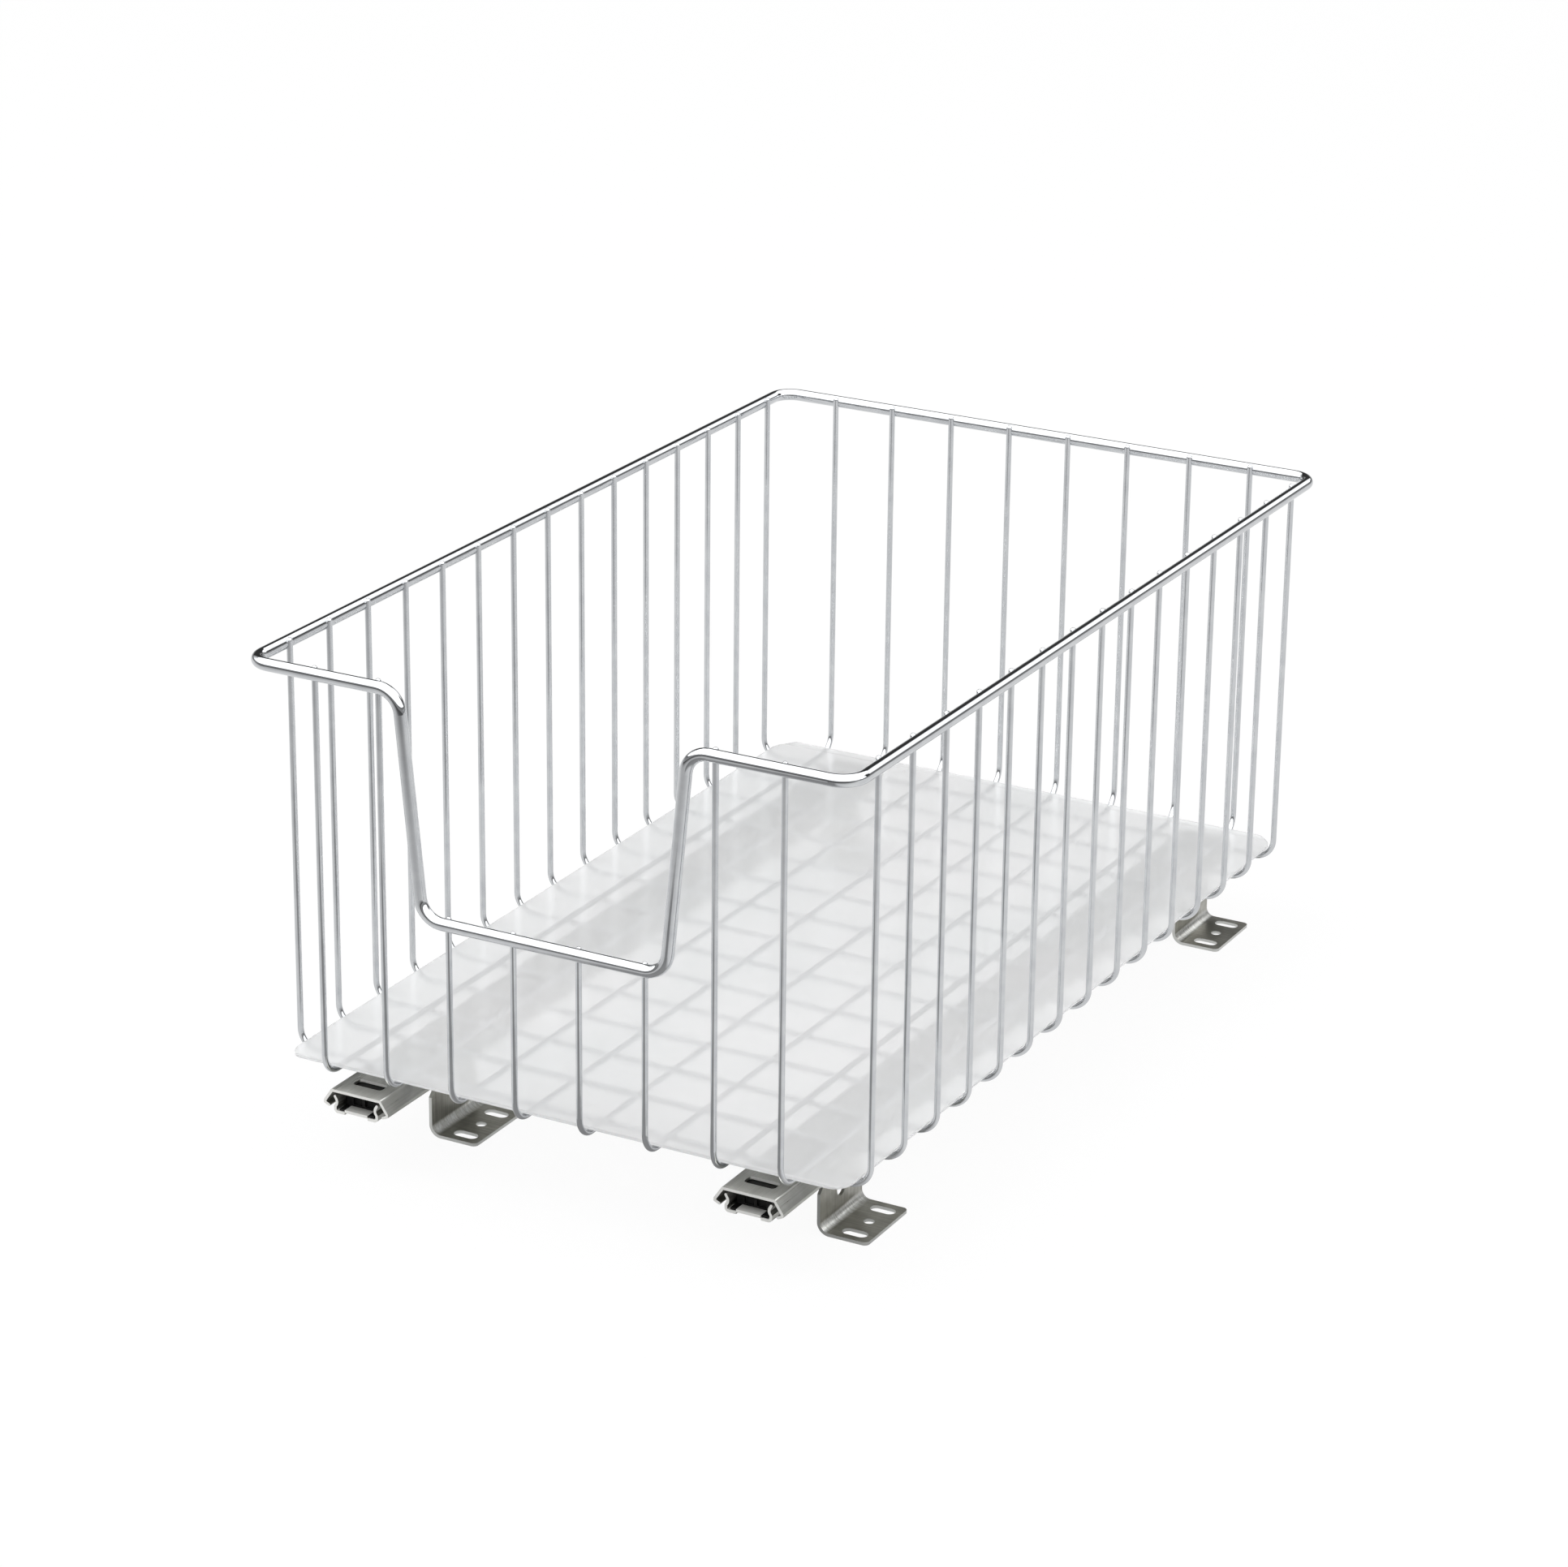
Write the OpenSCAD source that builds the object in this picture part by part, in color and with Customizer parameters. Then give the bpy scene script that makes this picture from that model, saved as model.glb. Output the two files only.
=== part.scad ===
// Pull-out cabinet basket: a chrome wire basket with a frosted liner mat, carried on two
// ball-bearing slides that stand on four bent steel brackets.
// Millimetres. +X is to the basket's right, +Y to the back of the cabinet, +Z up.
// Z = 0 is the underside of the bracket feet; X = 0 and Y = 0 are the middle of the bounding box.

/* [Basket] */
// Overall width of the basket, across the rim wire
basket_w = 300; // [250:1:400]
// Overall depth of the basket, front to back, across the rim wire
basket_d = 485; // [400:1:600]
// Height of the basket, from under its floor wires to the top of the rim
basket_h = 196.7; // [150:0.1:260]
// Diameter of the thick rim wire
rim_d = 5.8; // [4.5:0.1:7]
// Diameter of the thin basket wires
wire_d = 2.8; // [2.2:0.1:3.6]
// Bend radius of the rim wire at its four corners, on its centreline
corner_r = 10; // [7:0.5:16]
// Bend radius of the thin wires where floor turns into wall, on their centreline
floor_r = 10; // [7:0.5:14]
// How deep the thin wires are welded into the inside of the rim wire
rim_weld = 1.7; // [0.5:0.1:1.9]

/* [Front dip] */
// Width of the front dip at the top, between wire centrelines
dip_top_w = 141.2; // [120:0.1:170]
// Width of the front dip at its low rail, between the corners of the wire's centreline
dip_low_w = 120.8; // [100:0.1:140]
// Depth of the front dip, from rim centreline down to low rail centreline
dip_depth = 102.6; // [60:0.1:125]
// Bend radius of the rim wire around the dip, on its centreline
dip_r = 11; // [8:0.5:13]

/* [Wire layout] */
// Number of wires that run from side to side
side_n = 15; // [8:1:20]
// Distance from the front rim wire to the first of them, centre to centre
side_front_gap = 27.5; // [16:0.1:40]
// Distance from the last of them to the back rim wire, centre to centre
side_back_gap = 21.1; // [16:0.1:40]
// Number of front-to-back wires that end on the low front rail
low_n = 4; // [2:1:6]
// Distance from the dip's lower corner to the nearest of them
low_gap = 11.6; // [11:0.1:20]
// Distance from the dip's upper corner to the first tall wire beside it
beside_gap = 11.7; // [8:0.1:16]
// How deep two crossing floor wires are welded into each other
cross_weld = 0.05; // [0:0.01:0.08]

/* [Mat] */
// Thickness of the frosted mat
mat_t = 1; // [0.6:0.1:2]
// Corner radius of the mat
mat_r = 12; // [5:0.5:20]
// Gap between the mat's long edges and the bends of the side wires
mat_side_gap = 0.35; // [0.2:0.05:2]
// How far the mat's ends ride up the floor bends, in degrees
mat_rise = 30; // [10:1:45]
// Gap between the mat and the wires under it
mat_gap = 0.05; // [0.02:0.01:0.2]

/* [Slides] */
// Distance between the centrelines of the two slides
slide_pitch = 198; // [150:1:230]
// How far the pair of slides stands to the right of the basket's middle
slide_shift = 1.8; // [-5:0.1:5]
// Length of the slide rails
rail_l = 475; // [400:1:560]
// Width of the moving rail
rail_w = 33.8; // [28:0.1:42]
// Overall height of a slide, moving rail on fixed rail
slide_h = 11.2; // [10.6:0.1:14]
// Thickness of the rails' sheet
rail_t = 1.3; // [1:0.1:1.6]
// How far the basket pulls out
travel = 330; // [250:1:360]
// Distance of the rails' front ends behind the front rim wire's centreline
rail_setback = 0; // [0:0.5:10]
// Length of the slot across the moving rail's front end
rail_slot_l = 15; // [8:0.1:18]
// Width of that slot
rail_slot_w = 6.4; // [4:0.1:8]
// Corner radius of that slot
rail_slot_r = 1.8; // [0.5:0.1:2]
// Distance of that slot's middle from the rail's front end
rail_slot_y = 12; // [8:0.1:20]
// Width of the tongue pressed up at the fixed rail's front end
tongue_w = 12; // [8:0.1:14]
// Length of that tongue
tongue_l = 5.7; // [4:0.1:8]
// How far it's pressed up
tongue_rise = 1; // [0.4:0.1:1.1]

/* [Balls and cages] */
// Diameter of the bearing balls
ball_d = 4; // [3.2:0.1:4.8]
// Number of balls in each row
ball_n = 7; // [3:1:12]
// Gap between a ball and its tracks
ball_gap = 0.08; // [0.02:0.01:0.1]
// Gap between a ball and the outer wall of the moving rail
race_gap = 0.9; // [0.5:0.1:2]
// Gap between a ball and its hole in the cage
ball_hole_gap = 0.05; // [0.02:0.01:0.2]
// Thickness of the cage sheet
cage_t = 0.6; // [0.4:0.1:1]
// Gap above and below the cage's web
cage_gap = 0.35; // [0.3:0.01:0.6]
// Width of sheet left around each ball hole
cage_rim = 0.65; // [0.4:0.05:1]

/* [Stops] */
// Distance of the front bumper's body from the tongue
bumper_y = 0.5; // [0.2:0.1:3]
// Length of the front bumper
bumper_l = 12.5; // [8:0.1:20]
// Gap between the bumper and the rail that holds it
bumper_gap = 0.2; // [0.05:0.01:0.5]
// Distance of the moving rail's stop tab from its back end
tab_y = 3; // [2:0.1:6]
// Width of the stop tabs
tab_w = 9; // [5:0.1:12]
// Gap left at a stop
stop_gap = 0.4; // [0.3:0.05:1]

/* [Brackets] */
// Height of a bracket, from under its foot to the top of its ledge
bracket_h = 25; // [22:0.5:40]
// Width of a bracket, along the slide
bracket_w = 39; // [32:0.5:50]
// Width of a bracket's ledge, along the slide
ledge_w = 27; // [22:0.5:32]
// Thickness of the bracket sheet
bracket_t = 1.5; // [1:0.1:2.5]
// Distance from the slide's centreline to the bracket's toe
toe_x = 33.5; // [28:0.5:45]
// Distance from the slide's centreline to the outer face of the upright
upright_x = 10.5; // [9:0.1:12]
// Distance from the slide's centreline to the far edge of the ledge
ledge_x = 10.5; // [6:0.1:14]
// Inside radius of the bend at the foot
foot_bend_r = 4.3; // [3:0.1:6]
// Inside radius of the bend at the ledge
ledge_bend_r = 1.5; // [1:0.1:3]
// Corner radius of the toe
toe_r = 2.5; // [1:0.1:5]
// Height over the feet where the upright starts to narrow
narrow_z = 19; // [12:0.1:19.5]
// Distance from the rails' front ends to the middle of the front brackets
front_bracket_y = 64.5; // [30:0.5:120]
// Distance from the rails' back ends to the middle of the back brackets
back_bracket_y = 38.5; // [25:0.5:120]

/* [Bracket holes] */
// Length of the foot slots, across the slide
foot_slot_l = 12; // [8:0.1:14]
// Width of the foot slots
foot_slot_w = 5.8; // [4:0.1:7]
// Distance between the two slots of a foot, centre to centre
foot_slot_pitch = 25.8; // [18:0.1:30]
// Distance of the slots' middles from the toe
foot_slot_x = 9.2; // [8.5:0.1:12]
// Diameter of the round hole between the slots
foot_hole_d = 5; // [3:0.1:7]
// Diameter of the hole in the upright
upright_hole_d = 8; // [5:0.1:9]
// Height of that hole's middle over the feet
upright_hole_z = 14.7; // [11:0.1:16]
// Diameter of the rivets
rivet_d = 4; // [3:0.1:5]
// Diameter of the rivet heads
rivet_head_d = 7.2; // [5.5:0.1:8.5]
// Height of the rivet heads
rivet_head_h = 1.1; // [0.6:0.1:1.6]
// Distance between a bracket's two rivets
rivet_pitch = 14; // [10:0.5:18]

/* [Hidden] */
$fn = 32;

// --- heights, from the feet up ---
ledge_z = bracket_h;                          // top of the bracket ledges
rail_top_z = ledge_z + slide_h;               // top face of the moving rails
side_floor_z = rail_top_z + wire_d / 2;       // side-to-side wires lie on the rails
long_floor_z = side_floor_z + wire_d - cross_weld;
rim_z = rail_top_z + basket_h - rim_d / 2;    // centreline of the rim wire
low_rail_z = rim_z - dip_depth;

// --- plan of the basket, on wire centrelines ---
rim_x = (basket_w - rim_d) / 2;
rim_y = (basket_d - rim_d) / 2;
leg_inset = (rim_d + wire_d) / 2 - rim_weld;  // thin wires' legs stand this far inside
leg_x = rim_x - leg_inset;
leg_y = rim_y - leg_inset;
leg_top = rim_d / 2;                          // legs end level with the top of the rim
side_first_y = -rim_y + side_front_gap;
side_pitch = (2 * rim_y - side_front_gap - side_back_gap) / (side_n - 1);
beside_x = dip_top_w / 2 + beside_gap;
tall_x = [-(beside_x + rim_x) / 2, -beside_x, beside_x, (beside_x + rim_x) / 2];
low_first_x = dip_low_w / 2 - low_gap;
low_x = [for (i = [0 : low_n - 1]) -low_first_x + i * 2 * low_first_x / (low_n - 1)];

// --- front dip ---
dip_slant = (dip_top_w - dip_low_w) / 2;
dip_turn = atan2(dip_depth, dip_slant);       // turn of the wire at each dip corner
// from a dip corner to the start of its bend, to a thousandth so the level runs meet it exactly
dip_cut = round(dip_r * tan(dip_turn / 2) * 1000) / 1000;
slant_lap = 0.3;                              // the slanted legs reach this far into the bends
slant_ease = 0.02;                            // and are this much thinner, to end inside them

// --- mat ---
mat_z = long_floor_z + wire_d / 2 + mat_gap;  // underside of the mat
mat_side_rise = side_floor_z + floor_r - mat_z;
mat_x = leg_x - floor_r + sqrt(pow(floor_r - wire_d / 2, 2) - pow(mat_side_rise, 2))
        - mat_side_gap;
mat_flat_y = leg_y - floor_r;
mat_under_r = floor_r - wire_d / 2 - mat_gap;
mat_end_y = mat_flat_y + mat_under_r * sin(mat_rise);

// --- slides: x from the slide's centreline, z from the top face of the moving rail ---
slide_x = [slide_shift - slide_pitch / 2, slide_shift + slide_pitch / 2];
rail_front = -rim_y + rail_setback;
rail_back = rail_front + rail_l;
ball_r = ball_d / 2;
race_r = ball_r + ball_gap + rail_t / 2;      // ball centre to the middle of a track's sheet
ear_tip = 150;                                // the fixed rail's track ends here, and runs on
ear_run = 1.3;                                // straight this far
ear_low = 228;
track_up = 34;
track_down = -57;
lip_turn = 25;                                // the moving rail's lip slopes down by this much
ball_x = rail_w / 2 - rail_t - race_gap - ball_r;
ear_high = race_r * sin(ear_tip) - ear_run * cos(ear_tip);
ball_z = -(rail_t + cage_gap + cage_t + cage_gap + rail_t / 2 + ear_high);
wall_x = (rail_w - rail_t) / 2;
function at_ball(r, a) = [ball_x + r * cos(a), ball_z + r * sin(a)];
slope = at_ball(race_r, track_up);            // where the ball meets the moving rail
lip = at_ball(race_r, track_down);
shoulder_x = slope[0] - (-rail_t / 2 - slope[1]) * tan(track_up);
knee_z = slope[1] - (wall_x - slope[0]) / tan(track_up);
wall_low_z = lip[1] + (wall_x - lip[0]) * tan(lip_turn);
ear = at_ball(race_r, ear_low);               // top of the fixed rail's wall
base_z = -slide_h + rail_t / 2;
base_r = 1.35;                                // bend at the fixed rail's lower corners
web_z = -(rail_t + cage_gap + cage_t / 2);
flange_end_z = ball_z - ball_r - ball_hole_gap - cage_rim;

// --- stops and the cage's place, with the basket pushed in ---
bumper_front = rail_front + tongue_l + bumper_y;
bumper_back = bumper_front + bumper_l;
tab_front = rail_back - tab_y;                // front face of the moving rail's stop tab
cage_front = bumper_back + stop_gap + travel / 2;
cage_back = tab_front - stop_gap - travel / 2;
ball_pitch = (cage_back - cage_front - 2 * ball_d) / (ball_n - 1);
tab_low_z = web_z - cage_t - rail_t;          // the tab reaches this far down

// --- brackets ---
bracket_y = [rail_front + front_bracket_y, rail_back - back_bracket_y];
foot_slot_cx = toe_x - foot_slot_x;

// --- helpers ---
// Straight wire from p to q
module rod(p, q, d) {
    v = q - p;
    l = norm(v);
    translate(p) rotate([0, acos(v[2] / l), atan2(v[1], v[0])]) cylinder(d = d, h = l);
}

// Bent wire: an arc of radius r, from angle a0 to a1 about Z
module bend(r, d, a0, a1) {
    rotate([0, 0, a0]) rotate_extrude(angle = a1 - a0, $fn = 48) translate([r, 0]) circle(d = d);
}

// Upright wire with a domed top end
module leg(h, d) {
    rotate_extrude() {
        square([d / 2, h - d / 2]);
        translate([0, h - d / 2]) intersection() {
            circle(d = d);
            square(d / 2);
        }
    }
}

// One U-shaped basket wire in the XZ plane: floor height, half span, and each leg's top
module u_wire(half, floor_z, top_a, top_b) {
    run = half - floor_r;
    rod([-run, 0, floor_z], [run, 0, floor_z], wire_d);
    for (s = [-1, 1]) {
        translate([s * run, 0, floor_z + floor_r]) rotate([90, 0, 0])
            bend(floor_r, wire_d, s > 0 ? 270 : 180, s > 0 ? 360 : 270);
        translate([s * half, 0, floor_z + floor_r])
            leg((s > 0 ? top_b : top_a) - floor_z - floor_r, wire_d);
    }
}

// The stretch of rim wire that a leg is welded into, running along Y at (x, z)
module rim_seat(x, z) {
    rod([x, -wire_d, z], [x, wire_d, z], rim_d);
}

// Sheet-metal section: a bent strip of thickness t through the points
module strip(points, t) {
    for (i = [0 : len(points) - 2]) {
        p = points[i];
        q = points[i + 1];
        n = [p[1] - q[1], q[0] - p[0]] / norm(q - p) * t / 2;
        polygon([p + n, p - n, q - n, q + n]);
        translate(q) circle(d = t);
    }
}

// Part of a ring between two angles, under 180 degrees apart
module arc_strip(r, t, a0, a1) {
    far = 3 * (r + t);
    am = (a0 + a1) / 2;
    intersection() {
        difference() {
            circle(r = r + t / 2);
            circle(r = r - t / 2);
        }
        polygon([[0, 0], far * [cos(a0), sin(a0)], far * [cos(am), sin(am)],
                 far * [cos(a1), sin(a1)]]);
    }
}

// Both halves of a section that is the same left and right
module both_sides() {
    children();
    mirror([1, 0]) children();
}

// A section drawn in X and Z, extruded along Y from y0 to y1
module along_y(y0, y1) {
    translate([0, y1, 0]) rotate([90, 0, 0]) linear_extrude(height = y1 - y0) children();
}

// Slot with round ends, along X
module slot(l, w, h) {
    linear_extrude(height = h) {
        square([l - w, w], center = true);
        for (s = [-1, 1]) translate([s * (l - w) / 2, 0]) circle(d = w);
    }
}

// Rectangle in plan with rounded corners, around the origin
module rounded(l, w, r) {
    square([l - 2 * r, w], center = true);
    square([l, w - 2 * r], center = true);
    for (sx = [-1, 1], sy = [-1, 1])
        translate([sx * (l / 2 - r), sy * (w / 2 - r)]) circle(r = r);
}

// --- basket ---
module rim_wire() color("gainsboro") {
    cx = rim_x - corner_r;
    cy = rim_y - corner_r;
    for (s = [-1, 1]) {
        rod([s * rim_x, -cy, rim_z], [s * rim_x, cy, rim_z], rim_d);
        translate([s * cx, cy, rim_z]) bend(corner_r, rim_d, s > 0 ? 0 : 90, s > 0 ? 90 : 180);
        translate([s * cx, -cy, rim_z])
            bend(corner_r, rim_d, s > 0 ? 270 : 180, s > 0 ? 360 : 270);
    }
    rod([-cx, rim_y, rim_z], [cx, rim_y, rim_z], rim_d);
    // the front: two short stretches of rim, two slanted legs and the low rail
    top_x = dip_top_w / 2 + dip_cut;
    low_x0 = dip_low_w / 2 - dip_cut;
    down = (dip_cut - slant_lap) * [-cos(dip_turn), 0, -sin(dip_turn)];
    for (s = [0, 1]) mirror([s, 0, 0]) {
        rod([top_x, -rim_y, rim_z], [cx, -rim_y, rim_z], rim_d);
        rod([dip_top_w / 2, -rim_y, rim_z] + down,
            [dip_low_w / 2, -rim_y, low_rail_z] - down, rim_d - slant_ease);
        translate([top_x, -rim_y, rim_z - dip_r]) rotate([90, 0, 0])
            bend(dip_r, rim_d, 90, 90 + dip_turn);
        translate([low_x0, -rim_y, low_rail_z + dip_r]) rotate([90, 0, 0])
            bend(dip_r, rim_d, 270, 270 + dip_turn);
    }
    rod([-low_x0, -rim_y, low_rail_z], [low_x0, -rim_y, low_rail_z], rim_d);
}

module side_wires() color("silver") {
    for (i = [0 : side_n - 1]) translate([0, side_first_y + i * side_pitch, 0]) difference() {
        u_wire(leg_x, side_floor_z, rim_z + leg_top, rim_z + leg_top);
        for (s = [-1, 1]) rim_seat(s * rim_x, rim_z);
    }
}

// A front-to-back wire at x whose front leg ends on a rim stretch at height front_z
module long_wire(x, front_z) {
    translate([x, 0, 0]) rotate([0, 0, 90]) difference() {
        u_wire(leg_y, long_floor_z, front_z + leg_top, rim_z + leg_top);
        rim_seat(-rim_y, front_z);
        rim_seat(rim_y, rim_z);
    }
}

module tall_long_wires() color("silver") {
    for (x = tall_x) long_wire(x, rim_z);
}

module low_long_wires() color("silver") {
    for (x = low_x) long_wire(x, low_rail_z);
}

module mat() color("white") {
    intersection() {
        rotate([90, 0, 90]) translate([0, 0, -mat_x]) linear_extrude(height = 2 * mat_x) {
            translate([-mat_flat_y, mat_z]) square([2 * mat_flat_y, mat_t]);
            both_sides() translate([mat_flat_y, long_floor_z + floor_r])
                arc_strip(mat_under_r - mat_t / 2, mat_t, 270, 270 + mat_rise);
        }
        linear_extrude(height = rim_z) rounded(2 * mat_x, 2 * mat_end_y, mat_r);
    }
}

// --- slides ---
module moving_rail() {
    difference() {
        along_y(rail_front, rail_back) both_sides()
            strip([[0, -rail_t / 2], [shoulder_x, -rail_t / 2], [wall_x, knee_z],
                   [wall_x, wall_low_z], lip], rail_t);
        translate([0, rail_front + rail_slot_y, -2 * rail_t]) linear_extrude(height = 3 * rail_t)
            rounded(rail_slot_l, rail_slot_w, rail_slot_r);
    }
    translate([-tab_w / 2, tab_front, tab_low_z])
        cube([tab_w, rail_t, -tab_low_z - rail_t / 2]);
}

module fixed_rail() {
    difference() {
        along_y(rail_front, rail_back) both_sides() {
            translate([0, base_z - rail_t / 2]) square([ear[0] - base_r, rail_t]);
            translate([ear[0] - base_r, base_z + base_r]) arc_strip(base_r, rail_t, 270, 360);
            translate([ear[0] - rail_t / 2, base_z + base_r])
                square([rail_t, ear[1] - base_z - base_r]);
            translate([ball_x, ball_z]) arc_strip(race_r, rail_t, ear_tip, ear_low);
            // the straight run starts inside the track's arc, and is a little thinner to stay in it
            strip([at_ball(race_r, ear_tip + 5), at_ball(race_r, ear_tip)
                   + ear_run * [sin(ear_tip), -cos(ear_tip)]], rail_t - 0.04);
            // the kink where the wall meets the ear
            polygon([ear + [rail_t / 2, 0], at_ball(race_r - rail_t / 2 + 0.05, ear_low),
                     at_ball(race_r, ear_low - 15), ear - [0, 0.3]]);
        }
        for (y = bracket_y, s = [-1, 1])
            translate([0, y + s * rivet_pitch / 2, -slide_h - rail_t])
                cylinder(d = rivet_d, h = 3 * rail_t);
        // the hollow under the tongue
        translate([-tongue_w / 2, rail_front - 1, -slide_h - 1])
            cube([tongue_w, tongue_l + 1, tongue_rise + 1]);
    }
    translate([-tongue_w / 2, rail_front, -slide_h + tongue_rise])
        cube([tongue_w, tongue_l, rail_t]);
    translate([-tab_w / 2, tab_front + rail_t + stop_gap, base_z])
        cube([tab_w, rail_t, web_z - cage_t - base_z]);
}

module ball_row(s) {
    for (i = [0 : ball_n - 1])
        translate([s * ball_x, cage_front + ball_d + i * ball_pitch, ball_z]) children();
}

module ball_cage() {
    difference() {
        along_y(cage_front, cage_back) both_sides()
            strip([[0, web_z], [ball_x - 1, web_z], [ball_x, web_z - 1.5],
                   [ball_x, flange_end_z]], cage_t);
        for (s = [-1, 1]) ball_row(s) translate([-cage_t, 0, 0])
            rotate([0, 90, 0]) cylinder(r = ball_r + ball_hole_gap, h = 2 * cage_t);
    }
}

module balls() {
    for (s = [-1, 1]) ball_row(s) sphere(r = ball_r);
}

module front_bumper() {
    w = 2 * (ball_x - race_r - rail_t / 2 - bumper_gap);
    low = base_z + rail_t / 2;
    high = -rail_t - cage_gap;
    prong = (w - tongue_w) / 2 - bumper_gap;
    translate([-w / 2, bumper_front, low]) difference() {
        cube([w, bumper_l, high - low]);
        // a step across the top, seen through the rail's slot
        translate([-1, -1, high - low - 1.4]) cube([w + 2, bumper_l / 2, 2]);
        // two hollows in the front
        for (s = [-1, 1]) translate([w / 2 + s * w / 6 - w / 8, -1, 1.5])
            cube([w / 4, 2.2, high - low]);
    }
    // two prongs that reach forward beside the tongue
    for (s = [-1, 1]) translate([s * (w - prong) / 2 - prong / 2, rail_front + bumper_y, low])
        cube([prong, bumper_front - rail_front, tongue_rise]);
}

module at_slide(i) {
    translate([slide_x[i], 0, rail_top_z]) children();
}

module moving_rail_left() color("darkgray") at_slide(0) moving_rail();
module moving_rail_right() color("darkgray") at_slide(1) moving_rail();
module fixed_rail_left() color("tan") at_slide(0) fixed_rail();
module fixed_rail_right() color("tan") at_slide(1) fixed_rail();
module ball_cage_left() color("goldenrod") at_slide(0) ball_cage();
module ball_cage_right() color("goldenrod") at_slide(1) ball_cage();
module balls_left() color("red") at_slide(0) balls();
module balls_right() color("red") at_slide(1) balls();
module front_bumper_left() color("black") at_slide(0) front_bumper();
module front_bumper_right() color("black") at_slide(1) front_bumper();

// --- brackets ---
module bracket() {
    bend_x = upright_x + foot_bend_r;
    top_x = upright_x - bracket_t - ledge_bend_r;
    under_z = ledge_z - bracket_t;
    difference() {
        intersection() {
            along_y(-bracket_w / 2, bracket_w / 2) {
                translate([bend_x, 0]) square([toe_x - bend_x, bracket_t]);
                translate([bend_x, bracket_t + foot_bend_r])
                    arc_strip(foot_bend_r + bracket_t / 2, bracket_t, 180, 270);
                translate([upright_x - bracket_t, bracket_t + foot_bend_r])
                    square([bracket_t, under_z - ledge_bend_r - bracket_t - foot_bend_r]);
                translate([top_x, under_z - ledge_bend_r])
                    arc_strip(ledge_bend_r + bracket_t / 2, bracket_t, 0, 90);
                translate([-ledge_x, under_z]) square([ledge_x + top_x, bracket_t]);
            }
            // plan outline, with the toe's corners rounded
            linear_extrude(height = bracket_h) {
                translate([-ledge_x, -bracket_w / 2])
                    square([ledge_x + toe_x - toe_r, bracket_w]);
                translate([0, -bracket_w / 2 + toe_r]) square([toe_x, bracket_w - 2 * toe_r]);
                for (s = [-1, 1])
                    translate([toe_x - toe_r, s * (bracket_w / 2 - toe_r)]) circle(r = toe_r);
            }
        }
        // the upright narrows towards the ledge
        step = (bracket_w - ledge_w) / 2;
        for (s = [0, 1]) mirror([0, s, 0]) rotate([90, 0, 90])
            translate([0, 0, -ledge_x - 1]) linear_extrude(height = ledge_x + bend_x)
                polygon([[bracket_w / 2, narrow_z], [bracket_w / 2 - step, narrow_z + step],
                         [bracket_w / 2 - step, bracket_h + 1], [bracket_w / 2 + 1, bracket_h + 1],
                         [bracket_w / 2 + 1, narrow_z]]);
        for (s = [-1, 1]) {
            translate([foot_slot_cx, s * foot_slot_pitch / 2, -1])
                slot(foot_slot_l, foot_slot_w, bracket_t + 2);
            translate([0, s * rivet_pitch / 2, under_z - 1])
                cylinder(d = rivet_d, h = bracket_t + 2);
        }
        translate([foot_slot_cx, 0, -1]) cylinder(d = foot_hole_d, h = bracket_t + 2);
        translate([upright_x - bracket_t - 1, 0, upright_hole_z]) rotate([0, 90, 0])
            cylinder(d = upright_hole_d, h = bracket_t + 2);
    }
}

module at_bracket(i, j) {
    translate([slide_x[i], bracket_y[j], 0]) children();
}

module bracket_front_left() color("steelblue") at_bracket(0, 0) bracket();
module bracket_front_right() color("steelblue") at_bracket(1, 0) bracket();
module bracket_back_left() color("steelblue") at_bracket(0, 1) bracket();
module bracket_back_right() color("steelblue") at_bracket(1, 1) bracket();

module rivet() {
    grip = bracket_t + rail_t;
    translate([0, 0, ledge_z - bracket_t]) {
        cylinder(d = rivet_d, h = grip);
        translate([0, 0, -rivet_head_h]) cylinder(d = rivet_head_d, h = rivet_head_h);
        translate([0, 0, grip]) cylinder(d = rivet_head_d, h = rivet_head_h);
    }
}

module bracket_rivets() color("dimgray") {
    for (i = [0, 1], j = [0, 1], s = [-1, 1])
        at_bracket(i, j) translate([0, s * rivet_pitch / 2, 0]) rivet();
}

rim_wire();
side_wires();
tall_long_wires();
low_long_wires();
mat();
moving_rail_left();
moving_rail_right();
fixed_rail_left();
fixed_rail_right();
ball_cage_left();
ball_cage_right();
balls_left();
balls_right();
front_bumper_left();
front_bumper_right();
bracket_front_left();
bracket_front_right();
bracket_back_left();
bracket_back_right();
bracket_rivets();
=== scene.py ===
import bpy
import bmesh
import math
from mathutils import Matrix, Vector, noise


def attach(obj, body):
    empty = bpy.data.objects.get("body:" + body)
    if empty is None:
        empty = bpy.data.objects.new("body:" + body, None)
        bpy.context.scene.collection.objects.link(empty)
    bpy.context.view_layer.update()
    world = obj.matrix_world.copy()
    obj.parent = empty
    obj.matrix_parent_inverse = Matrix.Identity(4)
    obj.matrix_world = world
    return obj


# A pull-out cabinet basket of chrome wire on two ball-bearing slides.
# Metres, in the CAD frame: +X right, +Y to the back of the cabinet, +Z up, feet at z = 0.

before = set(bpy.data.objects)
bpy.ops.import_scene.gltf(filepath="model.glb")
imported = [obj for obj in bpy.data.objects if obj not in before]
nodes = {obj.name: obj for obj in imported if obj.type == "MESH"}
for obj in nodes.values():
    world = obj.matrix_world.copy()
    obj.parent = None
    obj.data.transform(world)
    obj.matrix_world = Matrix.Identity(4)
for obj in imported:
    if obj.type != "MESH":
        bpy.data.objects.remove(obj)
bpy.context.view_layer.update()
scene = bpy.context.scene
MM = 0.001


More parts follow.
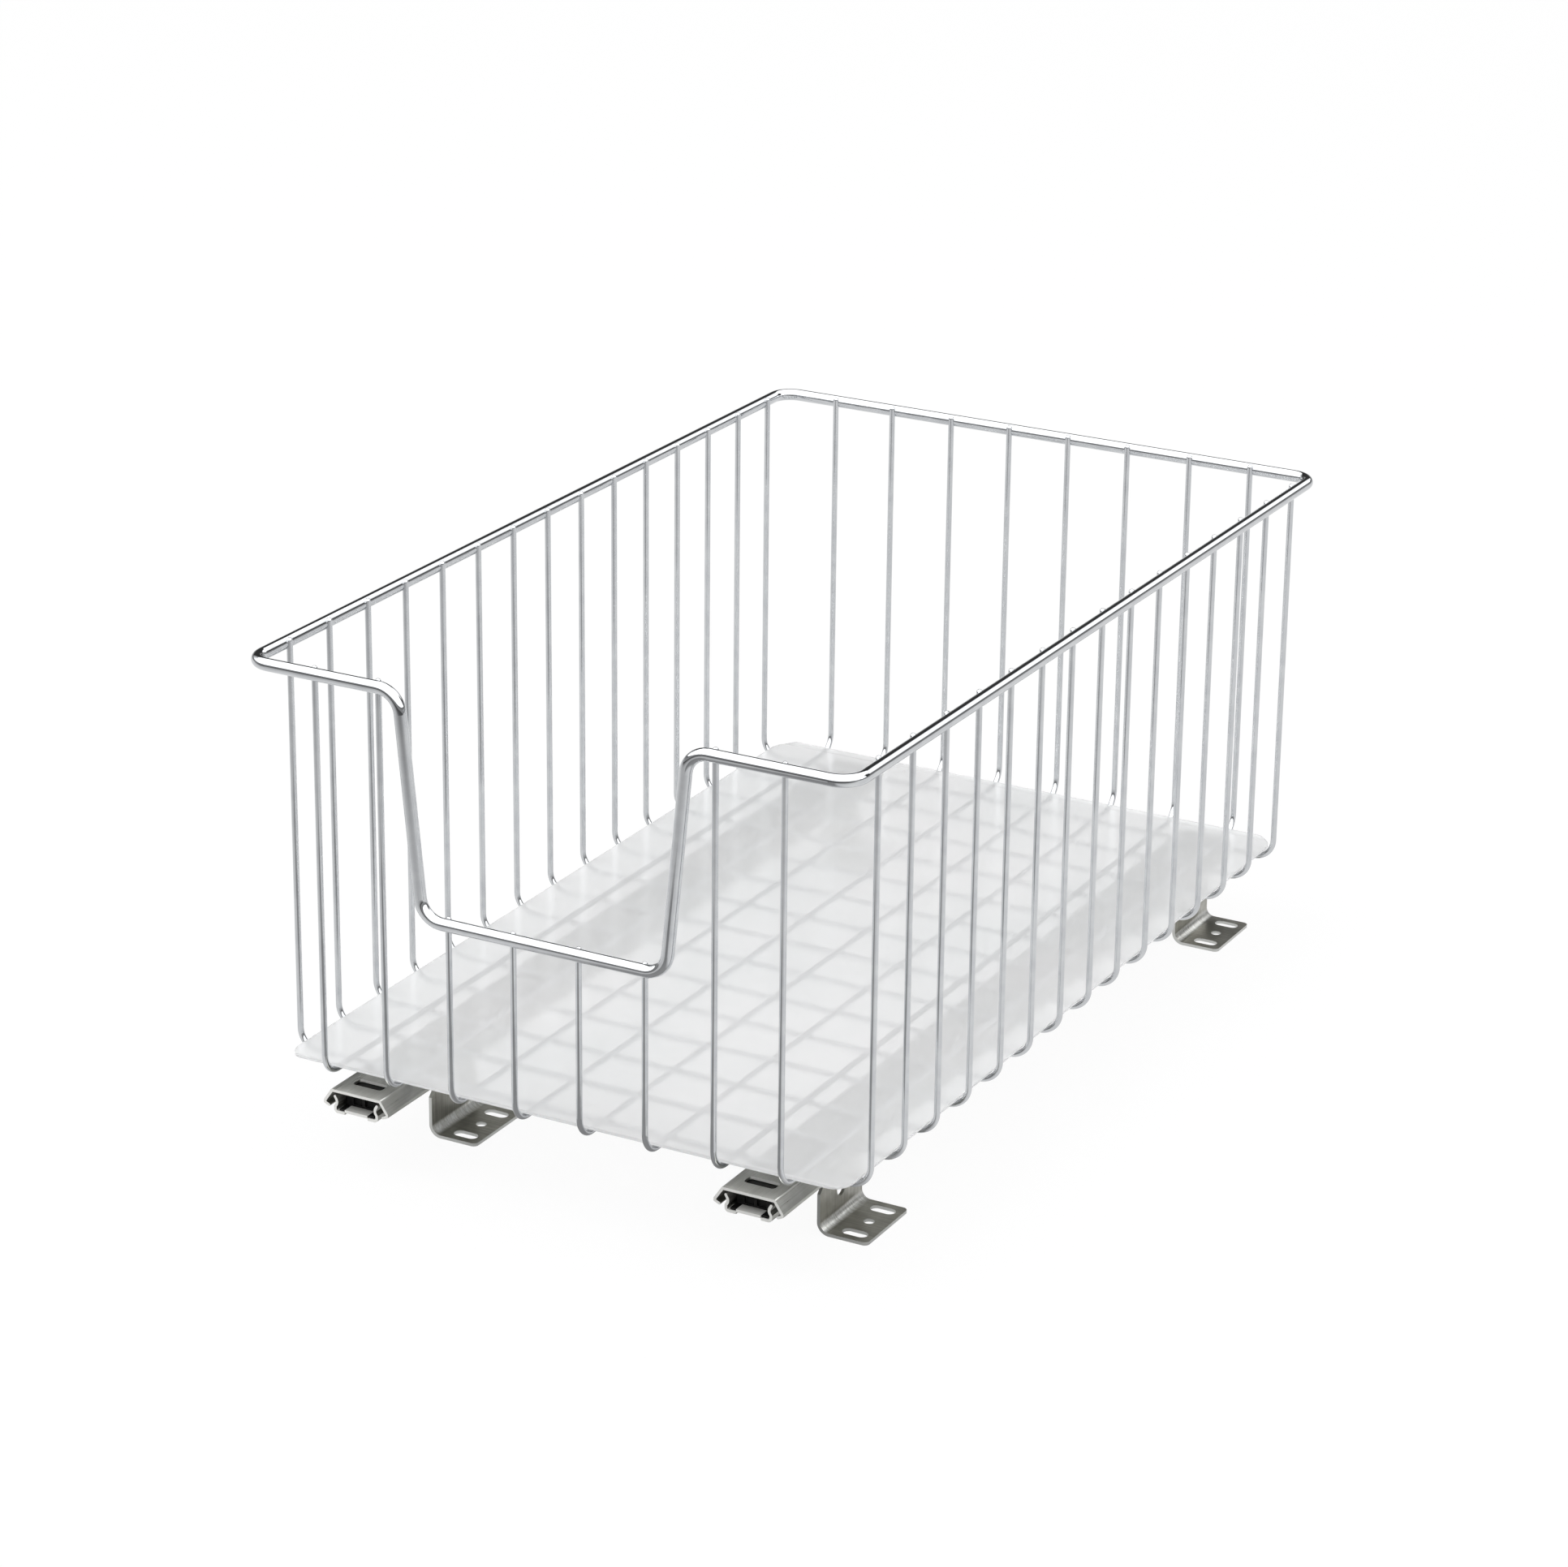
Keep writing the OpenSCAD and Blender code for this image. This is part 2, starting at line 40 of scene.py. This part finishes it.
# --- camera, at the photograph's viewing angle ---
camera = bpy.data.cameras.new("camera")
camera.sensor_width = 36
camera.lens = 107.55
camera.clip_start, camera.clip_end = 0.05, 50
camera_object = bpy.data.objects.new("camera", camera)
camera_object.location = (0.9607, -1.8005, 0.9054)
camera_object.rotation_euler = [math.radians(a) for a in (69.004, -0.606, 28.664)]
scene.collection.objects.link(camera_object)
scene.camera = camera_object


# --- node helpers ---
def linear(hex_colour):
    """An sRGB hex colour as linear RGBA."""
    channels = [int(hex_colour[i:i + 2], 16) / 255 for i in (1, 3, 5)]
    return [c / 12.92 if c <= 0.04045 else ((c + 0.055) / 1.055) ** 2.4 for c in channels] + [1]


def add(tree, kind, inputs=None, stops=(), **settings):
    """Adds a node. inputs maps a socket's name or number to a value or to another node's output.
    stops are a colour ramp's places, each with its hex colour or grey level."""
    made = tree.nodes.new(kind)
    for name, value in settings.items():
        setattr(made, name, value)
    for key, value in (inputs or {}).items():
        if isinstance(value, bpy.types.NodeSocket):
            tree.links.new(value, made.inputs[key])
        else:
            made.inputs[key].default_value = value
    for _ in stops[2:]:
        made.color_ramp.elements.new(0.5)
    for i, (place, shade) in enumerate(stops):
        made.color_ramp.elements[i].position = place
        made.color_ramp.elements[i].color = (
            linear(shade) if isinstance(shade, str) else (shade, shade, shade, 1))
    return made


def material(name):
    """A new material with only its output node. Returns it, its tree and that node."""
    made = bpy.data.materials.new(name)
    made.use_nodes = True
    tree = made.node_tree
    tree.nodes.clear()
    return made, tree, tree.nodes.new("ShaderNodeOutputMaterial")


def stretched(tree, x, y, z):
    """Object coordinates in units of (x, y, z) millimetres: one unit is one grain of a pattern."""
    place = add(tree, "ShaderNodeTexCoord").outputs["Object"]
    return add(tree, "ShaderNodeMapping",
               {"Vector": place, "Scale": (1 / (x * MM), 1 / (y * MM), 1 / (z * MM))}
               ).outputs["Vector"]


def mask(tree, *tests):
    """1 where every test holds and 0 elsewhere. A test is a value, where it begins to hold and
    where it fully does."""
    held = 1.0
    for value, begins, full in tests:
        one = add(tree, "ShaderNodeMapRange",
                  {"Value": value, "From Min": begins, "From Max": full}).outputs[0]
        held = add(tree, "ShaderNodeMath", {0: held, 1: one}, operation="MULTIPLY").outputs[0]
    return held


def object_parts(tree):
    """The point's place in the CAD frame, as X, Y and Z in metres."""
    place = add(tree, "ShaderNodeTexCoord").outputs["Object"]
    return add(tree, "ShaderNodeSeparateXYZ", {0: place}).outputs


def normal_parts(tree):
    """The surface's own direction in the object's frame, as X, Y and Z."""
    facing = add(tree, "ShaderNodeTexCoord").outputs["Normal"]
    return add(tree, "ShaderNodeSeparateXYZ", {0: facing}).outputs


# --- materials ---
def chrome_plate():
    """Bright chrome on drawn steel wire: mirror-like, with the faint unevenness of the drawing and
    the plating, which makes the reflected bands waver."""
    made, tree, out = material("chrome_plate")
    cloud = add(tree, "ShaderNodeTexNoise",
                {"Vector": stretched(tree, 9, 9, 9), "Scale": 1, "Detail": 3}).outputs["Fac"]
    ripple = add(tree, "ShaderNodeTexNoise",
                 {"Vector": stretched(tree, 2.4, 2.4, 2.4), "Scale": 1,
                  "Detail": 2}).outputs["Fac"]
    bump = add(tree, "ShaderNodeBump", {"Height": ripple, "Strength": 0.12, "Distance": 0.05 * MM})
    shader = add(tree, "ShaderNodeBsdfPrincipled", {
        "Base Color": add(tree, "ShaderNodeValToRGB", {"Fac": cloud},
                          stops=[(0.3, "#c6c8cb"), (0.7, "#d2d4d6")]).outputs["Color"],
        "Metallic": 1.0,
        "Roughness": add(tree, "ShaderNodeValToRGB", {"Fac": cloud},
                         stops=[(0.25, 0.03), (0.75, 0.07)]).outputs["Color"],
        "Normal": bump.outputs["Normal"],
    })
    tree.links.new(shader.outputs["BSDF"], out.inputs["Surface"])
    return made


def frosted_polypropylene():
    """Extruded polypropylene with a frosted face: milky, it lets the wires and rails under it
    through as soft shadows, sharper the nearer they lie."""
    made, tree, out = material("frosted_polypropylene")
    grain = add(tree, "ShaderNodeTexNoise",
                {"Vector": stretched(tree, 0.6, 0.6, 0.6), "Scale": 1, "Detail": 2}).outputs["Fac"]
    cloud = add(tree, "ShaderNodeTexNoise",
                {"Vector": stretched(tree, 60, 90, 60), "Scale": 1, "Detail": 2}).outputs["Fac"]
    bump = add(tree, "ShaderNodeBump", {"Height": grain, "Strength": 0.15, "Distance": 0.03 * MM})
    shader = add(tree, "ShaderNodeBsdfPrincipled", {
        "Base Color": add(tree, "ShaderNodeValToRGB", {"Fac": cloud},
                          stops=[(0.3, "#f9fafa"), (0.7, "#fdfdfd")]).outputs["Color"],
        "Roughness": 0.18,
        # lower than the plastic's own 1.49: it stands for a thin sheet's two faces
        "IOR": 1.25,
        "Transmission Weight": 0.5,
        "Normal": bump.outputs["Normal"],
    })
    tree.links.new(shader.outputs["BSDF"], out.inputs["Surface"])
    return made


# where the tongue pressed up at a fixed rail's front end begins, and its height above the feet
TONGUE_Y, TONGUE_Z = -234.0 * MM, 28.0 * MM


def rolled_steel(name, dark, mid, light, roughness, grain):
    """Zinc-plated strip: satin, with fine lines along the way it was rolled, faint cloudy tarnish,
    dull and bright sheared ends, a painted highlight along the long bends, and a tongue painted
    pale as painted light. grain is the size of the lines in millimetres on X, Y and Z."""
    made, tree, out = material(name)
    lines = add(tree, "ShaderNodeTexNoise",
                {"Vector": stretched(tree, *grain), "Scale": 1, "Detail": 4,
                 "Roughness": 0.65}).outputs["Fac"]
    cloud = add(tree, "ShaderNodeTexNoise",
                {"Vector": stretched(tree, 14, 14, 14), "Scale": 1, "Detail": 3}).outputs["Fac"]
    both = add(tree, "ShaderNodeMix", {"Factor": 0.55, 2: cloud, 3: lines}).outputs[0]
    bump = add(tree, "ShaderNodeBump", {"Height": lines, "Strength": 0.35, "Distance": 0.05 * MM})
    facing, place = normal_parts(tree), object_parts(tree)
    across, along = [
        add(tree, "ShaderNodeMath", {0: facing[part]}, operation="ABSOLUTE").outputs[0]
        for part in ("X", "Y")]
    # a long bend is where the surface leans to the side, but isn't a wall; it carries a painted
    # highlight
    painted_bend_highlight = mask(tree, (across, 0.12, 0.3), (across, 0.74, 0.6))
    # the tongue takes a sheared edge's pale, dull finish; its pale colour is painted light,
    # standing in for the light that falls on it from the front
    tongue = mask(tree, (facing["Z"], 0.5, 0.8),
                  (place["Y"], TONGUE_Y + 0.5 * MM, TONGUE_Y - 0.5 * MM),
                  (place["Z"], TONGUE_Z + 0.2 * MM, TONGUE_Z - 0.2 * MM))
    sheared_ends_and_painted_tongue = add(tree, "ShaderNodeMath", {0: mask(tree, (along, 0.4, 0.7)), 1: tongue},
               operation="MAXIMUM").outputs[0]
    skin = add(tree, "ShaderNodeValToRGB", {"Fac": both},
               stops=[(0.3, dark), (0.5, mid), (0.7, light)]).outputs["Color"]
    # painted highlight: the long bends are painted pale
    skin = add(tree, "ShaderNodeMix", {"Factor": painted_bend_highlight, 6: skin, 7: linear("#d3d3cf")},
               data_type="RGBA").outputs[2]
    # sheared ends are pale and dull; the tongue's pale colour here is painted light
    skin = add(tree, "ShaderNodeMix", {"Factor": sheared_ends_and_painted_tongue, 6: skin, 7: linear("#e4e4e0")},
               data_type="RGBA").outputs[2]
    rough = add(tree, "ShaderNodeMapRange",
                {"Value": lines, "From Min": 0.3, "From Max": 0.7, "To Min": roughness - 0.06,
                 "To Max": roughness + 0.08}).outputs[0]
    shader = add(tree, "ShaderNodeBsdfPrincipled", {
        "Base Color": skin,
        "Metallic": add(tree, "ShaderNodeMapRange",
                        {"Value": sheared_ends_and_painted_tongue, "To Min": 1.0, "To Max": 0.4}).outputs[0],
        "Roughness": add(tree, "ShaderNodeMix",
                         {"Factor": sheared_ends_and_painted_tongue, 2: rough, 3: roughness + 0.2}).outputs[0],
        "Normal": bump.outputs["Normal"],
    })
    tree.links.new(shader.outputs["BSDF"], out.inputs["Surface"])
    return made


FOOT_TOP = 1.5 * MM


def bent_steel():
    """Nickel-plated bracket steel: satin and a little dark. Pressing drew fine lines up the
    upright, and the outside of the foot's bend is pale in streaks: partly die scuffing, partly a
    painted highlight."""
    made, tree, out = material("bent_steel")
    lines = add(tree, "ShaderNodeTexNoise",
                {"Vector": stretched(tree, 40, 0.9, 40), "Scale": 1, "Detail": 3,
                 "Roughness": 0.6}).outputs["Fac"]
    cloud = add(tree, "ShaderNodeTexNoise",
                {"Vector": stretched(tree, 7, 9, 7), "Scale": 1, "Detail": 3}).outputs["Fac"]
    bend_streaks = add(tree, "ShaderNodeTexNoise",
                {"Vector": stretched(tree, 4, 0.8, 4), "Scale": 1, "Detail": 4,
                 "Roughness": 0.7}).outputs["Fac"]
    # the bend is where the surface leans between the upright and the foot; its pale streaks are
    # partly die scuffing and partly a painted highlight
    facing, place = normal_parts(tree), object_parts(tree)
    lean = add(tree, "ShaderNodeMath", {0: facing["X"], 1: facing["Z"]},
               operation="MULTIPLY").outputs[0]
    scuff_and_painted_highlight = mask(tree, (lean, 0.06, 0.3), (bend_streaks, 0.3, 0.66))
    # the sheared edges are the two ends, and every upright face as low as the foot
    along = add(tree, "ShaderNodeMath", {0: facing["Y"]}, operation="ABSOLUTE").outputs[0]
    sheared = add(tree, "ShaderNodeMath",
                  {0: mask(tree, (along, 0.4, 0.7)),
                   1: mask(tree, (facing["Z"], 0.7, 0.4),
                           (place["Z"], FOOT_TOP + 0.2 * MM, FOOT_TOP - 0.1 * MM))},
                  operation="MAXIMUM").outputs[0]
    steel = add(tree, "ShaderNodeValToRGB", {"Fac": cloud},
                stops=[(0.3, "#98978f"), (0.7, "#bbbab3")]).outputs["Color"]
    drawn = add(tree, "ShaderNodeValToRGB", {"Fac": lines},
                stops=[(0.35, "#5f5e57"), (0.65, "#b9b8b2")]).outputs["Color"]
    lined = add(tree, "ShaderNodeMix", {"Factor": 0.35, 6: steel, 7: drawn},
                data_type="RGBA").outputs[2]
    # the bend's pale streaks: partly die scuffing, partly a painted highlight
    colour = add(tree, "ShaderNodeMix", {"Factor": scuff_and_painted_highlight, 6: lined, 7: linear("#d9dad8")},
                 data_type="RGBA").outputs[2]
    colour = add(tree, "ShaderNodeMix", {"Factor": sheared, 6: colour, 7: linear("#c3c4c1")},
                 data_type="RGBA").outputs[2]
    height = add(tree, "ShaderNodeMath", {0: lines, 1: bend_streaks}, operation="ADD").outputs[0]
    bump = add(tree, "ShaderNodeBump", {"Height": height, "Strength": 0.3, "Distance": 0.06 * MM})
    rough = add(tree, "ShaderNodeMapRange",
                {"Value": scuff_and_painted_highlight, "To Min": 0.33, "To Max": 0.38}).outputs[0]
    shader = add(tree, "ShaderNodeBsdfPrincipled", {
        "Base Color": colour,
        "Metallic": 1.0,
        "Roughness": rough,
        "Normal": bump.outputs["Normal"],
    })
    tree.links.new(shader.outputs["BSDF"], out.inputs["Surface"])
    return made


def bearing_steel():
    """Hardened and polished balls with a film of grease, which dulls them in patches."""
    made, tree, out = material("bearing_steel")
    film = add(tree, "ShaderNodeTexNoise",
               {"Vector": stretched(tree, 1.5, 1.5, 1.5), "Scale": 1, "Detail": 2}).outputs["Fac"]
    shader = add(tree, "ShaderNodeBsdfPrincipled", {
        "Base Color": add(tree, "ShaderNodeValToRGB", {"Fac": film},
                          stops=[(0.3, "#b9b9b6"), (0.7, "#d0d0ce")]).outputs["Color"],
        "Metallic": 1.0,
        "Roughness": add(tree, "ShaderNodeValToRGB", {"Fac": film},
                         stops=[(0.3, 0.08), (0.7, 0.2)]).outputs["Color"],
    })
    tree.links.new(shader.outputs["BSDF"], out.inputs["Surface"])
    return made


def moulded_acetal():
    """Black moulded acetal with a fine spark-eroded grain, so it is matt and nearly without
    highlights."""
    made, tree, out = material("moulded_acetal")
    grain = add(tree, "ShaderNodeTexNoise",
                {"Vector": stretched(tree, 0.35, 0.35, 0.35), "Scale": 1,
                 "Detail": 2}).outputs["Fac"]
    bump = add(tree, "ShaderNodeBump", {"Height": grain, "Strength": 0.3, "Distance": 0.04 * MM})
    shader = add(tree, "ShaderNodeBsdfPrincipled", {
        "Base Color": add(tree, "ShaderNodeValToRGB", {"Fac": grain},
                          stops=[(0.3, "#080808"), (0.7, "#121211")]).outputs["Color"],
        "Roughness": 0.5,
        "IOR": 1.48,
        "Specular IOR Level": 0.2,
        "Normal": bump.outputs["Normal"],
    })
    tree.links.new(shader.outputs["BSDF"], out.inputs["Surface"])
    return made


def weld_metal():
    """Resistance-weld flash under chrome: rough, a little darker than the wire round it."""
    made, tree, out = material("weld_metal")
    pits = add(tree, "ShaderNodeTexNoise",
               {"Vector": stretched(tree, 0.5, 0.5, 0.5), "Scale": 1, "Detail": 3}).outputs["Fac"]
    bump = add(tree, "ShaderNodeBump", {"Height": pits, "Strength": 0.6, "Distance": 0.1 * MM})
    shader = add(tree, "ShaderNodeBsdfPrincipled", {
        "Base Color": add(tree, "ShaderNodeValToRGB", {"Fac": pits},
                          stops=[(0.3, "#8f9092"), (0.7, "#c4c6c8")]).outputs["Color"],
        "Metallic": 1.0,
        "Roughness": add(tree, "ShaderNodeValToRGB", {"Fac": pits},
                         stops=[(0.3, 0.22), (0.7, 0.4)]).outputs["Color"],
        "Normal": bump.outputs["Normal"],
    })
    tree.links.new(shader.outputs["BSDF"], out.inputs["Surface"])
    return made


chrome = chrome_plate()
weld = weld_metal()
slide_strip = rolled_steel("rolled_strip", "#a3a39d", "#b6b6b1", "#cbccc8", 0.32, (0.8, 45, 0.8))
cage_strip = rolled_steel("cage_strip", "#77766f", "#8f8e88", "#a5a49f", 0.4, (0.8, 30, 0.8))
rivet_steel = rolled_steel("rivet_steel", "#7c7b76", "#918f89", "#a8a7a2", 0.42, (1.5, 1.5, 1.5))

FINISH = {
    "rim_wire": chrome, "side_wires": chrome, "tall_long_wires": chrome, "low_long_wires": chrome,
    "mat": frosted_polypropylene(),
    "bracket_rivets": rivet_steel,
}
acetal, balls, bracket_steel = moulded_acetal(), bearing_steel(), bent_steel()
for side in ("left", "right"):
    FINISH.update({
        "moving_rail_" + side: slide_strip, "fixed_rail_" + side: slide_strip,
        "ball_cage_" + side: cage_strip, "balls_" + side: balls, "front_bumper_" + side: acetal,
        "bracket_front_" + side: bracket_steel, "bracket_back_" + side: bracket_steel,
    })

for name, finish in FINISH.items():
    nodes[name].data.materials.clear()
    nodes[name].data.materials.append(finish)


def soften(name, width):
    """Rounds a sheet-metal or moulded node's sharp edges by width millimetres, as shearing and
    tumbling leave them."""
    joined = nodes[name].modifiers.new("joined", "WELD")
    joined.merge_threshold = 0.002 * MM
    round_off = nodes[name].modifiers.new("round_off", "BEVEL")
    round_off.width = width * MM
    round_off.segments = 2
    round_off.limit_method = "ANGLE"
    round_off.angle_limit = math.radians(40)
    round_off.harden_normals = False


for kind, width in (("bracket_front_", 0.2), ("bracket_back_", 0.2), ("moving_rail_", 0.22),
                    ("fixed_rail_", 0.22), ("front_bumper_", 0.3)):
    for side in ("left", "right"):
        soften(kind + side, width)
soften("mat", 0.25)


# --- welds ---
LUMPINESS = 0.18


def blob(mesh, centre, radii, seed):
    """Adds one small uneven weld bead to a bmesh: an ellipsoid with a lumpy skin."""
    made = bmesh.ops.create_icosphere(mesh, subdivisions=2, radius=1)["verts"]
    for v in made:
        lump = 1 + LUMPINESS * noise.noise(v.co * 2.1 + Vector((seed * 3.7, seed * 1.3, 0)))
        v.co = Vector([centre[i] + v.co[i] * radii[i] * lump for i in range(3)]) * MM


def weld_piece(name, beads):
    """One piece of weld beads on the basket. A bead is its centre and its half-sizes, in
    millimetres."""
    mesh = bmesh.new()
    for i, (centre, radii) in enumerate(beads):
        blob(mesh, centre, radii, i)
    data = bpy.data.meshes.new(name)
    mesh.to_mesh(data)
    mesh.free()
    data.shade_smooth()
    data.materials.append(weld)
    piece = bpy.data.objects.new(name, data)
    scene.collection.objects.link(piece)
    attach(piece, "basket")


# the wires' and rails' places, in millimetres, as the part's source has them
RIM_Y, RIM_Z, LOW_RAIL_Z = 239.6, 230.0, 127.4
LEG_X, LEG_Y = 144.5, 237.0
FRONT_GAP, BACK_GAP = 27.5, 21.1
SIDE_FLOOR_Z, RAIL_TOP_Z = 37.6, 36.2
RAIL_X = (-97.2, 100.8)
pitch = (2 * RIM_Y - FRONT_GAP - BACK_GAP) / 14
side_y = [FRONT_GAP - RIM_Y + i * pitch for i in range(15)]
tall_x = [-114.7, -82.3, 82.3, 114.7]
low_x = [-48.8 + i * 97.6 / 3 for i in range(4)]

# a bead's half-sizes: at the rim on the side and end walls, on a crossing and on a rail
SIDE_BEAD, END_BEAD = (1.3, 1.95, 2.0), (1.95, 1.3, 2.0)
CROSSING_BEAD, RAIL_BEAD = (1.25, 1.25, 0.55), (2.6, 1.2, 0.5)
# a rim bead sits this far out from the wire's middle and up from the rim's
OUT, UP = 0.5, 0.7

beads = [((s * (LEG_X + OUT), y, RIM_Z + UP), SIDE_BEAD) for y in side_y for s in (-1, 1)]
for x, top in [(x, RIM_Z) for x in tall_x] + [(x, LOW_RAIL_Z) for x in low_x]:
    beads.append(((x, -LEG_Y - OUT, top + UP), END_BEAD))
    beads.append(((x, LEG_Y + OUT, RIM_Z + UP), END_BEAD))
weld_piece("rim_welds", beads)

weld_piece("floor_welds", [((x, y, SIDE_FLOOR_Z + 1.38), CROSSING_BEAD)
                           for x in tall_x + low_x for y in side_y])

weld_piece("rail_welds", [((x + dx, y, RAIL_TOP_Z + 0.15), RAIL_BEAD)
                          for x in RAIL_X for y in side_y for dx in (-7, 7)])


# --- stage: plain pale floor, soft light ---
def studio_floor():
    """Matt white table top. It shows as white and keeps a trace of the object's shadow. In the
    metal it is white near the object and falls off towards the dark side of the room."""
    made, tree, out = material("studio_floor")
    path = add(tree, "ShaderNodeLightPath").outputs
    seen = add(tree, "ShaderNodeMath", {0: path["Is Camera Ray"], 1: path["Is Transmission Ray"]},
               operation="MAXIMUM").outputs[0]
    seen = add(tree, "ShaderNodeMath", {0: seen, 1: path["Is Glossy Ray"]},
               operation="MAXIMUM").outputs[0]
    # the rest is the lit board, which carries the shadow
    share = add(tree, "ShaderNodeMath", {0: seen, 1: 0.92}, operation="MULTIPLY").outputs[0]
    place = object_parts(tree)
    depth = add(tree, "ShaderNodeMapRange",
                {"Value": place["Y"], "From Min": -1.5, "From Max": -0.3}).outputs[0]
    far = add(tree, "ShaderNodeValToRGB", {"Fac": depth},
              stops=[(0.0, 0.05), (0.3, 0.14), (0.6, 0.52), (0.85, 0.72), (1.0, 0.9)]
              ).outputs["Color"]
    # a dim patch of floor just in front of the basket, which gives its steel a dark side
    dim = mask(tree, (place["X"], -0.10, -0.04), (place["X"], 0.18, 0.11),
               (place["Y"], -0.66, -0.58), (place["Y"], -0.12, -0.2))
    far = add(tree, "ShaderNodeMix", {"Factor": dim, 6: far, 7: (0.35, 0.35, 0.35, 1)},
              data_type="RGBA", blend_type="MULTIPLY").outputs[2]
    colour = add(tree, "ShaderNodeMix",
                 {"Factor": path["Is Glossy Ray"], 6: (1, 1, 1, 1), 7: far},
                 data_type="RGBA").outputs[2]
    board = add(tree, "ShaderNodeBsdfDiffuse", {"Color": linear("#e6e6e6")})
    white = add(tree, "ShaderNodeEmission", {"Color": colour, "Strength": 1.02})
    mixed = add(tree, "ShaderNodeMixShader",
                {0: share, 1: board.outputs[0], 2: white.outputs[0]})
    tree.links.new(mixed.outputs[0], out.inputs["Surface"])
    return made


floor_mesh = bpy.data.meshes.new("studio_floor")
floor_mesh.from_pydata([(-6, -6, 0), (6, -6, 0), (6, 6, 0), (-6, 6, 0)], [], [(0, 1, 2, 3)])
floor_mesh.materials.append(studio_floor())
floor = bpy.data.objects.new("studio_floor", floor_mesh)
scene.collection.objects.link(floor)

world = bpy.data.worlds.new("studio")
world.use_nodes = True
scene.world = world
sky = world.node_tree
sky.nodes.clear()
way = add(sky, "ShaderNodeTexCoord").outputs["Generated"]
axis = add(sky, "ShaderNodeSeparateXYZ", {0: way}).outputs

# what the chrome sees: a grey wall with a dark gap over it, and even patches of light over both
seen_in_chrome = add(sky, "ShaderNodeValToRGB", {"Fac": axis["Z"]},
                     stops=[(0.0, 0.35), (0.12, 0.30), (0.22, 0.05), (0.57, 0.04), (0.6, 2.0)]
                     ).outputs["Color"]
LIGHTS = [
    # one very large light overhead that comes down in front
    (2.0, (axis["Y"], 0.5, 0.0), (axis["Z"], 0.19, 0.22)),
    # one at the back on the right
    (1.7, (axis["X"], -0.1, 0.02), (axis["X"], 0.54, 0.42), (axis["Y"], 0.1, 0.3),
     (axis["Z"], 0.23, 0.28), (axis["Z"], 0.65, 0.6)),
]
for level, *edges in LIGHTS:
    seen_in_chrome = add(sky, "ShaderNodeMix",
                         {"Factor": mask(sky, *edges), 6: seen_in_chrome,
                          7: (level, level, level, 1)}, data_type="RGBA").outputs[2]

# everything else is lit by an even grey, and the camera sees white, also through the mat
path = add(sky, "ShaderNodeLightPath").outputs
light = add(sky, "ShaderNodeMix",
            {"Factor": path["Is Glossy Ray"], 6: (0.86, 0.86, 0.87, 1), 7: seen_in_chrome},
            data_type="RGBA").outputs[2]
clear = add(sky, "ShaderNodeMath", {0: path["Is Camera Ray"], 1: path["Is Transmission Ray"]},
            operation="MAXIMUM").outputs[0]
shown = add(sky, "ShaderNodeMix", {"Factor": clear, 6: light, 7: (1, 1, 1, 1)},
            data_type="RGBA").outputs[2]
background = add(sky, "ShaderNodeBackground", {"Color": shown, "Strength": 1.0})
add(sky, "ShaderNodeOutputWorld", {"Surface": background.outputs[0]})


def softbox(name, place, size, watts):
    """A rectangular lamp that points at the basket's middle."""
    lamp = bpy.data.lights.new(name, "AREA")
    lamp.shape = "RECTANGLE"
    lamp.size, lamp.size_y = size
    lamp.energy = watts
    made = bpy.data.objects.new(name, lamp)
    made.location = place
    aim = Vector((0, 0, 0.1)) - Vector(place)
    made.rotation_euler = aim.to_track_quat("-Z", "Y").to_euler()
    scene.collection.objects.link(made)


softbox("key_box", (-1.3, -0.6, 1.9), (1.6, 1.2), 16)
softbox("fill_box", (1.9, 0.6, 1.3), (1.0, 1.4), 6)

scene.view_settings.view_transform = "Standard"
